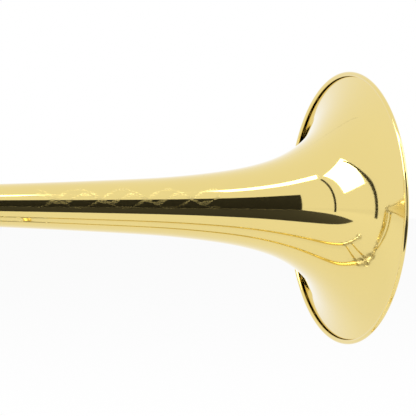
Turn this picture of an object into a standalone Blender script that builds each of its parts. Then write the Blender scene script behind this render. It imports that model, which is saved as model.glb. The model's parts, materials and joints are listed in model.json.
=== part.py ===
"""A straight tenor trombone, resting on a table.

The instrument is modelled in its own frame first, and then laid down:

    x runs along the tubes, forwards, out of the bell's mouth; 0 is the joint between bell and hand slide
    y runs from the bell's axis, at 0, to the neckpipe and the lower slide tube
    z runs from the upper slide tube, which carries the mouthpiece, to the lower one, at 0, and on past it

Laid down, the hand slide lies flat and the bell stands over the neckpipe. It touches the table with the
mouthpiece's rim, the bell's lock nut and a ferrule of the slide's bow. Pieces that touch on the real instrument
keep a gap of FIT between them here.
"""

from math import asin, atan, cos, exp, hypot, log, pi, radians, sin, sqrt, tan

import bmesh
import bpy
from mathutils import Vector

MM = 0.001
FIT = 0.3 * MM  # gap between pieces that touch
SIDES = 12  # of every tube and ring on the slide and the neck
BELL_SIDES = 36

# Layout
BELL_TO_NECK = 172 * MM
SLIDE_SPACING = 87.4 * MM
RIM_X = 318 * MM
CROOK_X = -200 * MM  # centre of the tuning crook's bend
BOW_X = 760 * MM  # centre of the slide bow's bend

# Bell
RIM_RADIUS = 101.6 * MM
BELL_WALL = 0.56 * MM
BEAD_RADIUS = 1.7 * MM
BEAD_WRAP = radians(280)
WIRE_RADIUS = 0.84 * MM
STEM_END_X = -105 * MM
# Distance back from the rim's plane, and radius of the sheet's middle there
BELL_STATIONS = [
    (0.4 * MM, 99.4 * MM),
    (3 * MM, 91.8 * MM),
    (8 * MM, 80.8 * MM),
    (15 * MM, 69.2 * MM),
    (25 * MM, 56.6 * MM),
    (40 * MM, 45.0 * MM),
    (60 * MM, 35.4 * MM),
    (85 * MM, 28.7 * MM),
    (115 * MM, 24.1 * MM),
    (150 * MM, 20.7 * MM),
    (200 * MM, 17.9 * MM),
    (260 * MM, 15.2 * MM),
    (330 * MM, 12.7 * MM),
    (423 * MM, 10.2 * MM),
]
STATION_SHIFT = 22 * MM  # makes the stations nearly a straight line when both are taken as logarithms
FLARE_RINGS = 16
BEAD_RINGS = 6

# Tubes of the bell section: outer radii and walls
TUBE_WALL = 0.5 * MM
BELL_LEG_RADIUS = 9.4 * MM
NECK_LEG_RADIUS = 7.7 * MM
SLEEVE_WALL = 0.7 * MM
NECK_FRONT_RADIUS = 7.2 * MM
NECK_REAR_RADIUS = 8.6 * MM
SLEEVE_REAR_X = CROOK_X + 9 * MM
LEG_FRONT_X = SLEEVE_REAR_X + 72 * MM
CROOK_STEPS = 14

# Tubes of the hand slide
BORE_RADIUS = 6.35 * MM
INNER_RADIUS = 6.75 * MM
STOCKING_RADIUS = 6.95 * MM
STOCKING_LENGTH = 120 * MM
OUTER_BORE_RADIUS = 7.25 * MM
OUTER_RADIUS = 7.65 * MM
INNER_END_X = 743 * MM
OUTER_REAR_X = 46.3 * MM
BOW_RADIUS = 7.6 * MM
BOW_STEPS = 12
BOW_FERRULE_RADIUS = 8.7 * MM
BOW_FERRULE_FRONT_X = BOW_X + 0.5 * MM
GUARD_THICKNESS = 0.8 * MM

# Cork barrels, which take the ends of the outer slide
BARREL_REAR_X = 30.3 * MM
BARREL_FRONT_X = 84 * MM
BARREL_RADIUS = 9.3 * MM
BARREL_BEAD_RADIUS = 10 * MM
COLLAR_RADIUS = 8.7 * MM
COLLAR_REAR_X = 86 * MM
COLLAR_FRONT_X = 120 * MM
INNER_BRACE_X = 46 * MM
OUTER_BRACE_X = 104 * MM

# Joint between the hand slide and the bell section
TENON_TIP_X = -23.7 * MM
THREAD_RADIUS = 10.9 * MM
THREAD_LENGTH = 10 * MM
THREAD_TURNS = 4
RECEIVER_FLANGE_RADIUS = 10.6 * MM
NUT_RADIUS = 13.6 * MM
NUT_FRONT_X = 6.4 * MM  # front end of its fluted band

# Mouthpiece
MOUTHPIECE_RADIUS = 19.3 * MM
MOUTHPIECE_LENGTH = 80 * MM
MOUTHPIECE_RIM_X = -83 * MM
MOUTHPIECE_WIDEST = 3.2 * MM  # back of the rim's crown
RECEIVER_MOUTH_X = -27 * MM

# Slide lock, as angles round the lower slide tube, from straight up
LOCK_PIN_ANGLE = radians(25)
LOCK_FINGER_FROM = radians(-27)
LOCK_FINGER_WIDTH = radians(14)
LOCK_TAB_WIDTH = radians(33)

# Braces
ROD_RADIUS = 3.6 * MM
FOOT_BOSS_RADIUS = 5.0 * MM
FOOT_HEIGHT = 6.5 * MM  # above the tube that it stands on
FRONT_BRACE_X = -62 * MM
REAR_BRACE_X = -152 * MM
CROOK_BRACE_BACK = 14 * MM  # behind the bend's centre

WEIGHT_RADIUS = 22 * MM
WEIGHT_THICKNESS = 20 * MM

# Water key: heights above the lower slide tube's axis
KEY_NIPPLE_X = BOW_X + 9 * MM
KEY_PIVOT_X = BOW_X - 13 * MM
KEY_PIVOT_HEIGHT = 12.9 * MM
KEY_PIN_RADIUS = 1.0 * MM
KEY_SPRING_TURNS = 3
KEY_SPRING_PITCH = 1.25 * MM
KEY_SPRING_WIRE = 0.35 * MM
KEY_SPRING_RADIUS = 1.95 * MM

BUMPER_TIP_X = BOW_X + 70 * MM

ALONG_X = (0, 0, 0)
ALONG_Y = (0, 0, pi / 2)
AGAINST_Y = (0, 0, -pi / 2)
ALONG_Z = (0, -pi / 2, 0)
AGAINST_Z = (0, pi / 2, 0)


def finish(name, color, roughness, metallic):
    """A plain surface of one colour."""
    material = bpy.data.materials.new(name)
    material.use_nodes = True
    shader = material.node_tree.nodes["Principled BSDF"]
    shader.inputs["Base Color"].default_value = (*color, 1)
    shader.inputs["Roughness"].default_value = roughness
    shader.inputs["Metallic"].default_value = metallic
    return material


def pivot(name, parent=None, location=(0, 0, 0), rotation=(0, 0, 0)):
    """An empty that carries pieces."""
    empty = bpy.data.objects.new(name, None)
    empty.parent = parent
    empty.location = location
    empty.rotation_euler = rotation
    bpy.context.scene.collection.objects.link(empty)
    return empty


def place(name, data, parent, material, location=(0, 0, 0), rotation=(0, 0, 0)):
    """A mesh or curve as a named object under its parent."""
    piece = bpy.data.objects.new(name, data)
    piece.parent = parent
    piece.location = location
    piece.rotation_euler = rotation
    if material:
        data.materials.append(material)
    bpy.context.scene.collection.objects.link(piece)
    return piece


def mesh_of(bm, name):
    """The bmesh as a closed, smooth-shaded mesh with its faces pointing out."""
    bmesh.ops.recalc_face_normals(bm, faces=bm.faces)
    mesh = bpy.data.meshes.new(name)
    bm.to_mesh(mesh)
    bm.free()
    mesh.shade_smooth()
    mesh.set_sharp_from_angle(angle=radians(35))
    return mesh


def turned(name, outline, parent, material, at=(0, 0, 0), rotation=ALONG_X, sides=SIDES):
    """A piece turned about its own x axis.

    outline is (distance along the axis, radius). It is closed round a hollow piece, and starts and ends on the axis
    of a solid one.
    """
    bm = bmesh.new()
    points = [bm.verts.new((along, 0, radius)) for along, radius in outline]
    solid = outline[0][1] == 0 and outline[-1][1] == 0
    pairs = list(zip(points, points[1:])) + ([] if solid else [(points[-1], points[0])])
    edges = [bm.edges.new(pair) for pair in pairs]
    bmesh.ops.spin(bm, geom=points + edges, cent=(0, 0, 0), axis=(1, 0, 0), angle=2 * pi, steps=sides)
    bmesh.ops.remove_doubles(bm, verts=bm.verts, dist=0.0005 * MM)
    return place(name, mesh_of(bm, name), parent, material, at, rotation)


def skinned(name, rings, parent, material, at=(0, 0, 0), rotation=ALONG_X, hollow=False):
    """A skin over rings of points. A hollow piece's last ring joins its first; a solid one's ends are capped."""
    bm = bmesh.new()
    loops = [[bm.verts.new(point) for point in ring] for ring in rings]
    following = loops[1:] + ([loops[0]] if hollow else [])
    for ring, after in zip(loops, following):
        for i in range(len(ring)):
            j = (i + 1) % len(ring)
            bm.faces.new((ring[i], ring[j], after[j], after[i]))
    if not hollow:
        bm.faces.new(loops[0])
        bm.faces.new(loops[-1])
    return place(name, mesh_of(bm, name), parent, material, at, rotation)


def extruded(name, outline, depth, parent, material, at=(0, 0, 0)):
    """A flat outline in the xz plane, given thickness along y about that plane."""
    bm = bmesh.new()
    face = bm.faces.new([bm.verts.new((x, -depth / 2, z)) for x, z in outline])
    thick = bmesh.ops.extrude_face_region(bm, geom=[face])["geom"]
    bmesh.ops.translate(bm, vec=(0, depth, 0), verts=[v for v in thick if isinstance(v, bmesh.types.BMVert)])
    return place(name, mesh_of(bm, name), parent, material, at)


def combine(piece, other, operation):
    """Joins the other shape to the piece, or cuts it out of the piece, and keeps the other as a hidden helper."""
    other.hide_render = True
    other.display_type = "WIRE"
    step = piece.modifiers.new(f"{operation.lower()}_{other.name}", "BOOLEAN")
    step.operation = operation
    step.object = other


def arc(centre, radius, start, end, steps):
    """Points of an arc in a plane, both ends included."""
    turn = [start + (end - start) * i / steps for i in range(steps + 1)]
    return [(centre[0] + radius * cos(a), centre[1] + radius * sin(a)) for a in turn]


def pipe(rear, front, outer_rear, outer_front, wall):
    """The outline of a plain tube, straight or tapered."""
    return [
        (rear, outer_rear),
        (front, outer_front),
        (front, outer_front - wall),
        (rear, outer_rear - wall),
    ]


def beaded_sleeve(rear, front, bore, radius, bead, bead_length):
    """The outline of a sleeve with a raised, rounded bead at each end."""
    slope = (bead - radius) * 1.2
    return [
        (rear, bead),
        (rear + bead_length, bead),
        (rear + bead_length + slope, radius),
        (front - bead_length - slope, radius),
        (front - bead_length, bead),
        (front, bead),
        (front, bore),
        (rear, bore),
    ]


def bell_radius(back):
    """Radius of the bell sheet's middle at a distance back from the rim's plane, smooth through the stations."""
    places = [log(s + STATION_SHIFT) for s, _ in BELL_STATIONS]
    heights = [log(r) for _, r in BELL_STATIONS]
    last = len(places) - 1
    slopes = []
    for i in range(last + 1):
        low, high = max(i - 1, 0), min(i + 1, last)
        slopes.append((heights[high] - heights[low]) / (places[high] - places[low]))
    u = min(max(log(back + STATION_SHIFT), places[0]), places[-1])
    i = max(k for k in range(last) if places[k] <= u)
    width = places[i + 1] - places[i]
    t = (u - places[i]) / width
    rise = heights[i + 1] - heights[i]
    bend_a = slopes[i] * width - rise
    bend_b = rise - slopes[i + 1] * width
    return exp(heights[i] + t * rise + t * (1 - t) * ((1 - t) * bend_a + t * bend_b))


def bell_outer_radius(x):
    return bell_radius(RIM_X - x) + BELL_WALL / 2


def bell_middle_line():
    """The bell sheet's middle, from the stem's end to the rim and round the wire that the rim is rolled over."""
    first, last = BELL_STATIONS[0][0], RIM_X - STEM_END_X
    low, high = log(first + STATION_SHIFT), log(last + STATION_SHIFT)
    line = []
    for i in range(FLARE_RINGS + 1):
        back = exp(high + (low - high) * i / FLARE_RINGS) - STATION_SHIFT
        line.append((RIM_X - back, bell_radius(back)))
    nearest, edge = line[-2], line[-1]
    heading = Vector((edge[0] - nearest[0], edge[1] - nearest[1])).normalized()
    roll = BEAD_RADIUS - BELL_WALL / 2
    centre = bead_centre()
    start = Vector((heading.y, -heading.x))
    for i in range(BEAD_RINGS + 1):
        a = BEAD_WRAP * i / BEAD_RINGS
        spoke = Vector((start.x * cos(a) - start.y * sin(a), start.x * sin(a) + start.y * cos(a)))
        line.append((centre[0] + roll * spoke.x, centre[1] + roll * spoke.y))
    return line[:FLARE_RINGS] + line[FLARE_RINGS + 1 :]


def bead_centre():
    return RIM_X - BEAD_RADIUS, RIM_RADIUS - BEAD_RADIUS


def sheet_outline(line, wall):
    """The closed outline of a sheet of even thickness about its middle line."""
    outer, inner = [], []
    for i, (x, r) in enumerate(line):
        before, after = line[max(i - 1, 0)], line[min(i + 1, len(line) - 1)]
        length = hypot(after[0] - before[0], after[1] - before[1])
        across_x = -(after[1] - before[1]) / length * wall / 2
        across_r = (after[0] - before[0]) / length * wall / 2
        outer.append((x + across_x, r + across_r))
        inner.append((x - across_x, r - across_r))
    return outer + inner[::-1]


def bell(parent, brass, steel):
    outline = sheet_outline(bell_middle_line(), BELL_WALL)
    turned("bell", outline, parent, brass, sides=BELL_SIDES)
    centre = bead_centre()
    wire = arc(centre, WIRE_RADIUS, 0, 2 * pi, 6)[:-1]
    turned("rim_wire", wire, parent, steel, sides=BELL_SIDES)


def joint_ring(name, rear, front, radius_at, parent, material, sides=SIDES):
    """A ring that covers a joint between two tubes, with a bead at each end and a waist between."""
    middle = (rear + front) / 2
    bead, waist, edge = 1.5 * MM, 0.9 * MM, 1.6 * MM
    outline = [
        (rear, radius_at(rear) + FIT + bead),
        (rear + 2 * edge, radius_at(rear) + FIT + bead),
        (rear + 3 * edge, radius_at(middle) + FIT + waist),
        (front - 3 * edge, radius_at(middle) + FIT + waist),
        (front - 2 * edge, radius_at(front) + FIT + bead),
        (front, radius_at(front) + FIT + bead),
        (front, radius_at(front) + FIT),
        (middle, radius_at(middle) + FIT),
        (rear, radius_at(rear) + FIT),
    ]
    turned(name, outline, parent, material, sides=sides)


def tuning_sleeves(bell_axis, neck_axis, nickel):
    """The two outer legs that the tuning slide runs in, and the rings that join them to the bell and neckpipe."""
    front = STEM_END_X - FIT
    for name, axis, leg in (
        ("bell_tuning_sleeve", bell_axis, BELL_LEG_RADIUS),
        ("neck_tuning_sleeve", neck_axis, NECK_LEG_RADIUS),
    ):
        bore = leg + FIT
        radius = bore + SLEEVE_WALL
        bead = radius + 0.7 * MM
        outline = [
            (SLEEVE_REAR_X, radius),
            (SLEEVE_REAR_X + 0.4 * MM, bead),
            (SLEEVE_REAR_X + 3 * MM, bead),
            (SLEEVE_REAR_X + 3.6 * MM, radius),
            (front, radius),
            (front, bore),
            (SLEEVE_REAR_X, bore),
        ]
        turned(name, outline, axis, nickel)
    ring_rear, ring_front = STEM_END_X - 13 * MM, STEM_END_X + 12 * MM

    def over_bell(x):
        return bell_outer_radius(max(x, STEM_END_X)) / cos(pi / SIDES)

    def over_neck(x):
        return max(neck_radius(x), NECK_LEG_RADIUS + FIT + SLEEVE_WALL)

    joint_ring("bell_ferrule", ring_rear, ring_front, over_bell, bell_axis, nickel)
    joint_ring("neck_ferrule", ring_rear, ring_front, over_neck, neck_axis, nickel)


def neck_radius(x):
    """Outer radius of the neckpipe, which widens steadily towards the tuning slide."""
    front = -28 * MM
    share = (front - x) / (front - STEM_END_X)
    return NECK_FRONT_RADIUS + (NECK_REAR_RADIUS - NECK_FRONT_RADIUS) * share


def neckpipe(axis, brass):
    rear, front = STEM_END_X, -28 * MM
    turned("neckpipe", pipe(rear, front, neck_radius(rear), neck_radius(front), TUBE_WALL), axis, brass)


def bell_receiver(axis, nickel):
    """The socket on the neckpipe that takes the hand slide's tenon, with the flange that keeps the nut on."""
    outline = [
        (-40 * MM, 8.2 * MM),
        (-39 * MM, 9.2 * MM),
        (-36 * MM, 9.2 * MM),
        (-35 * MM, 8.8 * MM),
        (-30 * MM, 8.8 * MM),
        (-28 * MM, 9.3 * MM),
        (-8 * MM, 9.3 * MM),
        (-8 * MM, RECEIVER_FLANGE_RADIUS),
        (-5 * MM, RECEIVER_FLANGE_RADIUS),
        (-4.2 * MM, 9.9 * MM),
        (-FIT, 9.9 * MM),
        (-FIT, 8.95 * MM),
        (-24 * MM, 7.95 * MM),
        (-24 * MM, 6.7 * MM),
        (-27.7 * MM, 6.7 * MM),
        (-27.7 * MM, NECK_FRONT_RADIUS + FIT),
        (-40 * MM, NECK_FRONT_RADIUS + FIT + 0.2 * MM),
    ]
    turned("bell_receiver", outline, axis, nickel)


def bell_lock_nut(axis, nickel):
    """A fluted ring that draws the bell onto the hand slide's thread."""
    bore, lip = THREAD_RADIUS + 0.4 * MM, 9.3 * MM + FIT + 0.1 * MM
    flutes = 2 * SIDES
    stations = [
        (-11 * MM, lip, 0),
        (-11 * MM, NUT_RADIUS - 1.6 * MM, 0),
        (-9.8 * MM, NUT_RADIUS - 0.4 * MM, 0),
        (-8.4 * MM, NUT_RADIUS - 0.4 * MM, 0),
        (-8 * MM, NUT_RADIUS, 1),
        (NUT_FRONT_X, NUT_RADIUS, 1),
        (6.8 * MM, NUT_RADIUS - 0.4 * MM, 0),
        (8.2 * MM, NUT_RADIUS - 0.4 * MM, 0),
        (9.4 * MM, NUT_RADIUS - 1.6 * MM, 0),
        (9.4 * MM, bore, 0),
        (-8.4 * MM, bore, 0),
        (-8.4 * MM, lip, 0),
    ]
    depth = 0.7 * MM
    rings = []
    for x, radius, fluted in stations:
        ring = []
        for i in range(flutes):
            a = 2 * pi * i / flutes
            r = radius - depth * fluted * (i % 2)
            ring.append((x, r * sin(a), r * cos(a)))
        rings.append(ring)
    skinned("bell_lock_nut", rings, axis, nickel, hollow=True)


def crook_ring(turn, radius):
    """A ring of points round the tuning crook, at an angle round its bend from the bell's side."""
    bend = BELL_TO_NECK / 2
    out = Vector((-sin(turn), -cos(turn), 0))
    centre = Vector((CROOK_X, bend, 0)) + bend * out
    spokes = [2 * pi * i / SIDES for i in range(SIDES)]
    return [tuple(centre + radius * (cos(a) * Vector((0, 0, 1)) + sin(a) * out)) for a in spokes]


def crook_radius(turn):
    """Outer radius of the crook, which narrows from the bell's side to the neck's."""
    return BELL_LEG_RADIUS + (NECK_LEG_RADIUS - BELL_LEG_RADIUS) * turn / pi


def crook_rings(extra, from_turn=0.0, to_turn=pi):
    turns = [from_turn + (to_turn - from_turn) * i / CROOK_STEPS for i in range(CROOK_STEPS + 1)]
    return [crook_ring(turn, crook_radius(turn) + extra) for turn in turns]


def tuning_slide(frame, bell_axis, neck_axis, brass, nickel):
    """The crook, its two inner legs, and the rings that join them."""
    skinned("tuning_crook", crook_rings(0) + crook_rings(-TUBE_WALL)[::-1], frame, brass, hollow=True)
    for side, axis, radius in (("bell", bell_axis, BELL_LEG_RADIUS), ("neck", neck_axis, NECK_LEG_RADIUS)):
        leg = pipe(CROOK_X + FIT, LEG_FRONT_X, radius, radius, TUBE_WALL)
        turned(f"{side}_tuning_leg", leg, axis, nickel)
        bore = radius + FIT
        ring = beaded_sleeve(CROOK_X + 0.1 * MM, SLEEVE_REAR_X - 1 * MM, bore, bore + 0.8 * MM, bore + 1.5 * MM, 1.4 * MM)
        turned(f"{side}_crook_ferrule", ring, axis, nickel)


def foot(name, parent, material, at, rotation, tube_radius, cutter, long_way):
    """A brace's foot: an oval saddle on a tube, with a round boss that the rod stands on.

    It is turned about its own x axis, which points away from the tube; long_way is the y or z that the oval
    runs along, which is the direction of the tube.
    """
    top = tube_radius + 1.5 * MM
    sunk = tube_radius * 0.45
    half_long, half_short = 9.5 * MM, 5.8 * MM
    across = (half_short, half_long) if long_way == "z" else (half_long, half_short)
    rings = []
    for height, share in ((sunk, 1), (top, 0.9)):
        turns = [2 * pi * i / SIDES for i in range(SIDES)]
        rings.append([(height, across[0] * share * sin(a), across[1] * share * cos(a)) for a in turns])
    saddle = skinned(name, rings, parent, material, at, rotation)
    boss_top = tube_radius + FOOT_HEIGHT
    outline = [
        (sunk + 0.5 * MM, 0),
        (sunk + 0.5 * MM, FOOT_BOSS_RADIUS),
        (top + 0.8 * MM, FOOT_BOSS_RADIUS),
        (top + 2.4 * MM, FOOT_BOSS_RADIUS - 1.2 * MM),
        (boss_top - 1.6 * MM, FOOT_BOSS_RADIUS),
        (boss_top, FOOT_BOSS_RADIUS),
        (boss_top, 0),
    ]
    boss = turned(f"{name}_boss", outline, parent, None, at, rotation)
    combine(saddle, boss, "UNION")
    combine(saddle, cutter, "DIFFERENCE")
    return saddle


def rod(name, length, parent, material, at, rotation):
    """A brace's rod, slightly waisted."""
    half = [(0, ROD_RADIUS), (length / 4, ROD_RADIUS), (length / 2, ROD_RADIUS - 0.4 * MM)]
    outline = [(0, 0)] + half + [(length - x, r) for x, r in half[-2::-1]] + [(length, 0)]
    turned(name, outline, parent, material, at, rotation)


def tube_cutter(name, axis, rear, front, radius_at, sides=SIDES):
    """A solid a little larger than the tube, that a foot is cut with."""
    outline = [(rear, 0), (rear, radius_at(rear) + FIT), (front, radius_at(front) + FIT), (front, 0)]
    return turned(name, outline, axis, None, sides=sides)


def bell_braces(bell_axis, neck_axis, brass, nickel):
    """The two stays that hold the bell beside the neckpipe."""
    sleeve_wall = FIT + SLEEVE_WALL
    stays = (
        ("front_brace", FRONT_BRACE_X, bell_outer_radius(FRONT_BRACE_X), neck_radius(FRONT_BRACE_X)),
        ("rear_brace", REAR_BRACE_X, BELL_LEG_RADIUS + sleeve_wall, NECK_LEG_RADIUS + sleeve_wall),
    )
    for name, x, bell_side, neck_side in stays:
        front = name == "front_brace"
        ends = (x - 15 * MM, x + 15 * MM)
        bell_cutter = tube_cutter(
            f"{name}_bell_cutter", bell_axis, *ends, bell_outer_radius if front else lambda _, r=bell_side: r,
            sides=BELL_SIDES if front else SIDES,
        )
        neck_cutter = tube_cutter(
            f"{name}_neck_cutter", neck_axis, *ends, neck_radius if front else lambda _, r=neck_side: r
        )
        foot(f"{name}_bell_foot", bell_axis, nickel, (x, 0, 0), ALONG_Y, bell_side, bell_cutter, "y")
        foot(f"{name}_neck_foot", neck_axis, nickel, (x, 0, 0), AGAINST_Y, neck_side, neck_cutter, "y")
        start = bell_side + FOOT_HEIGHT + FIT
        length = BELL_TO_NECK - start - neck_side - FOOT_HEIGHT - FIT
        rod(name, length, bell_axis, brass, (x, start, 0), ALONG_Y)


def counterweight(frame, brass, nickel, steel):
    """The stay across the crook, and the weight that balances the hand slide, held on it by a thumbscrew."""
    bend = BELL_TO_NECK / 2
    x = CROOK_X - CROOK_BRACE_BACK
    turn = atan(CROOK_BRACE_BACK / sqrt(bend**2 - CROOK_BRACE_BACK**2))
    inset = bend - bend * cos(turn)
    cutter = skinned("crook_cutter", crook_rings(FIT), frame, None)
    bell_side, neck_side = crook_radius(turn), crook_radius(pi - turn)
    foot("crook_bell_foot", frame, nickel, (x, inset, 0), ALONG_Y, bell_side, cutter, "y")
    foot("crook_neck_foot", frame, nickel, (x, BELL_TO_NECK - inset, 0), AGAINST_Y, neck_side, cutter, "y")
    start = inset + bell_side + FOOT_HEIGHT + FIT
    length = BELL_TO_NECK - inset - neck_side - FOOT_HEIGHT - FIT - start
    rod("crook_brace", length, frame, brass, (x, start, 0), ALONG_Y)
    half, radius = WEIGHT_THICKNESS / 2, WEIGHT_RADIUS
    side = [
        (half - 1.2 * MM, 0),
        (half - 1.2 * MM, radius * 0.55),
        (half, radius * 0.62),
        (half, radius * 0.84),
        (half - 2.6 * MM, radius),
    ]
    outline = side + [(-z, r) for z, r in side[::-1]]
    weight = turned("counterweight", outline, frame, brass, (x, bend, 0), ALONG_Z, sides=24)
    hole = ROD_RADIUS + FIT
    bore = [(-30 * MM, 0), (-30 * MM, hole), (30 * MM, hole), (30 * MM, 0)]
    combine(weight, turned("weight_rod_bore", bore, frame, None, (x, bend, 0), ALONG_Y), "DIFFERENCE")
    screw_radius, head_radius = 2 * MM, 5.5 * MM
    screw_hole = [(0, 0), (0, screw_radius + FIT), (-30 * MM, screw_radius + FIT), (-30 * MM, 0)]
    combine(weight, turned("weight_screw_bore", screw_hole, frame, None, (x, bend, 0)), "DIFFERENCE")
    tip, head = -ROD_RADIUS - FIT, -radius - 1 * MM
    screw = [
        (tip, 0),
        (tip, screw_radius),
        (head, screw_radius),
        (head, head_radius - 0.6 * MM),
        (head - 0.6 * MM, head_radius),
        (head - 4 * MM, head_radius),
        (head - 5 * MM, head_radius - 1.2 * MM),
        (head - 5 * MM, 0),
    ]
    turned("counterweight_screw", screw, frame, steel, (x, bend, 0))


def slide_tenon(axis, nickel):
    """The hand slide's tapered end, with the thread that the bell's nut runs on."""
    crest, root = THREAD_RADIUS, THREAD_RADIUS - 0.6 * MM
    thread = []
    for i in range(THREAD_TURNS):
        x = THREAD_LENGTH * i / THREAD_TURNS
        pitch = THREAD_LENGTH / THREAD_TURNS
        thread += [(x, root), (x + pitch * 0.35, crest), (x + pitch * 0.65, crest)]
    outline = (
        [(TENON_TIP_X, 7.6 * MM), (0, 8.6 * MM)]
        + thread
        + [
            (THREAD_LENGTH, root),
            (THREAD_LENGTH, 12 * MM),
            (THREAD_LENGTH + 2.4 * MM, 12 * MM),
            (THREAD_LENGTH + 3.4 * MM, 9.2 * MM),
            (24 * MM, 8.8 * MM),
            (26 * MM, 9.8 * MM),
            (30 * MM, 9.8 * MM),
            (30 * MM, INNER_RADIUS + FIT),
            (2 * MM, INNER_RADIUS + FIT),
            (2 * MM, BORE_RADIUS),
            (TENON_TIP_X, BORE_RADIUS),
        ]
    )
    turned("slide_tenon", outline, axis, nickel)


def inner_slide(lower, upper, chrome, nickel, cork):
    """For each inner tube: the tube with its thicker stocking, the cork barrel, and the cork in it."""
    for side, axis in (("lower", lower), ("upper", upper)):
        stocking = INNER_END_X - STOCKING_LENGTH
        tube = [
            (2.3 * MM, INNER_RADIUS),
            (stocking, INNER_RADIUS),
            (stocking + 1 * MM, STOCKING_RADIUS),
            (INNER_END_X - 1 * MM, STOCKING_RADIUS),
            (INNER_END_X, INNER_RADIUS),
            (INNER_END_X, BORE_RADIUS),
            (2.3 * MM, BORE_RADIUS),
        ]
        turned(f"{side}_inner_tube", tube, axis, chrome)
        floor_x = BARREL_REAR_X + 2.7 * MM
        shell = beaded_sleeve(
            BARREL_REAR_X, BARREL_FRONT_X, OUTER_RADIUS + 0.7 * MM, BARREL_RADIUS, BARREL_BEAD_RADIUS, 2.4 * MM
        )
        barrel = shell[:-1] + [(floor_x, shell[-1][1])]
        barrel += [(floor_x, INNER_RADIUS + FIT), (BARREL_REAR_X, INNER_RADIUS + FIT)]
        turned(f"{side}_cork_barrel", barrel, axis, nickel)
        bumper = pipe(floor_x + FIT, OUTER_REAR_X - FIT, 8.05 * MM, 8.05 * MM, 8.05 * MM - INNER_RADIUS - FIT)
        turned(f"{side}_cork", bumper, axis, cork)


def mouthpiece_receiver(axis, nickel):
    outline = [
        (RECEIVER_MOUTH_X, 8.6 * MM),
        (RECEIVER_MOUTH_X + 0.8 * MM, 9.6 * MM),
        (RECEIVER_MOUTH_X + 4 * MM, 9.6 * MM),
        (RECEIVER_MOUTH_X + 5 * MM, 8.5 * MM),
        (10 * MM, 8.5 * MM),
        (24 * MM, 8.8 * MM),
        (26 * MM, 9.8 * MM),
        (30 * MM, 9.8 * MM),
        (30 * MM, INNER_RADIUS + FIT),
        (2 * MM, INNER_RADIUS + FIT),
        (2 * MM, 6.1 * MM),
        (-2 * MM, 6.1 * MM),
        (RECEIVER_MOUTH_X, 6.75 * MM),
    ]
    turned("mouthpiece_receiver", outline, axis, nickel)


def leadpipe(axis, brass):
    """The venturi inside the upper inner tube: narrow just past the mouthpiece, then widening."""
    radius = BORE_RADIUS - FIT
    outline = [
        (2.6 * MM, radius),
        (215 * MM, radius),
        (215 * MM, 5.8 * MM),
        (30 * MM, 5.3 * MM),
        (2.6 * MM, 5.6 * MM),
    ]
    turned("leadpipe", outline, axis, brass)


def slide_lock_ring(axis, nickel):
    """A fluted ring on the lower barrel, with a hooked finger that turns in front of the outer slide's pin."""
    rear, front = 66 * MM, 80.3 * MM
    bore, radius = BARREL_RADIUS + FIT, 11.9 * MM
    flutes = 2 * SIDES
    stations = [
        (rear, bore, 0),
        (rear, radius - 1 * MM, 0),
        (rear + 1 * MM, radius - 0.3 * MM, 0),
        (rear + 2.2 * MM, radius - 0.3 * MM, 0),
        (rear + 2.5 * MM, radius, 1),
        (front - 2.5 * MM, radius, 1),
        (front - 2.2 * MM, radius - 0.3 * MM, 0),
        (front - 1 * MM, radius - 0.3 * MM, 0),
        (front, radius - 1 * MM, 0),
        (front, bore, 0),
    ]
    depth = 0.6 * MM
    rings = []
    for x, r, fluted in stations:
        spokes = [(r - depth * fluted * (i % 2), 2 * pi * i / flutes) for i in range(flutes)]
        rings.append([(x, s * sin(a), s * cos(a)) for s, a in spokes])
    ring = skinned("slide_lock_ring", rings, axis, nickel, hollow=True)

    def curved_bar(name, from_x, to_x, low, high, start, width):
        """A bar bent round the axis: its ends are at from_x and to_x, its faces at radii low and high."""
        steps = 5
        sections = []
        for i in range(steps + 1):
            a = start + width * i / steps
            corners = ((from_x, low), (to_x, low), (to_x, high), (from_x, high))
            sections.append([(x, r * sin(a), r * cos(a)) for x, r in corners])
        return skinned(name, sections, axis, None)

    low, high = BARREL_BEAD_RADIUS + 0.4 * MM, radius - 0.7 * MM
    finger = curved_bar(
        "lock_finger", front - 2 * MM, 94 * MM, low, high, LOCK_FINGER_FROM, LOCK_FINGER_WIDTH
    )
    combine(ring, finger, "UNION")
    tab = curved_bar(
        "lock_tab", 91.6 * MM, 94.4 * MM, COLLAR_RADIUS + 0.95 * MM, high + 0.1 * MM,
        LOCK_FINGER_FROM + 0.01, LOCK_TAB_WIDTH,
    )
    combine(ring, tab, "UNION")


def hand_slide_braces(lower, upper, brass, nickel):
    """The stays of the inner and the outer hand slide, each across from the lower to the upper tube."""
    for name, x, radius in (
        ("inner_brace", INNER_BRACE_X, BARREL_RADIUS),
        ("outer_brace", OUTER_BRACE_X, COLLAR_RADIUS),
    ):
        for side, axis, rotation in (("lower", lower, AGAINST_Z), ("upper", upper, ALONG_Z)):
            ends = (x - 14 * MM, x + 14 * MM)
            cutter = tube_cutter(f"{name}_{side}_cutter", axis, *ends, lambda _, r=radius: r)
            foot(f"{name}_{side}_foot", axis, nickel, (x, 0, 0), rotation, radius, cutter, "z")
        start = radius + FOOT_HEIGHT + FIT
        rod(name, SLIDE_SPACING - 2 * start, lower, brass, (x, 0, -start), AGAINST_Z)


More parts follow.
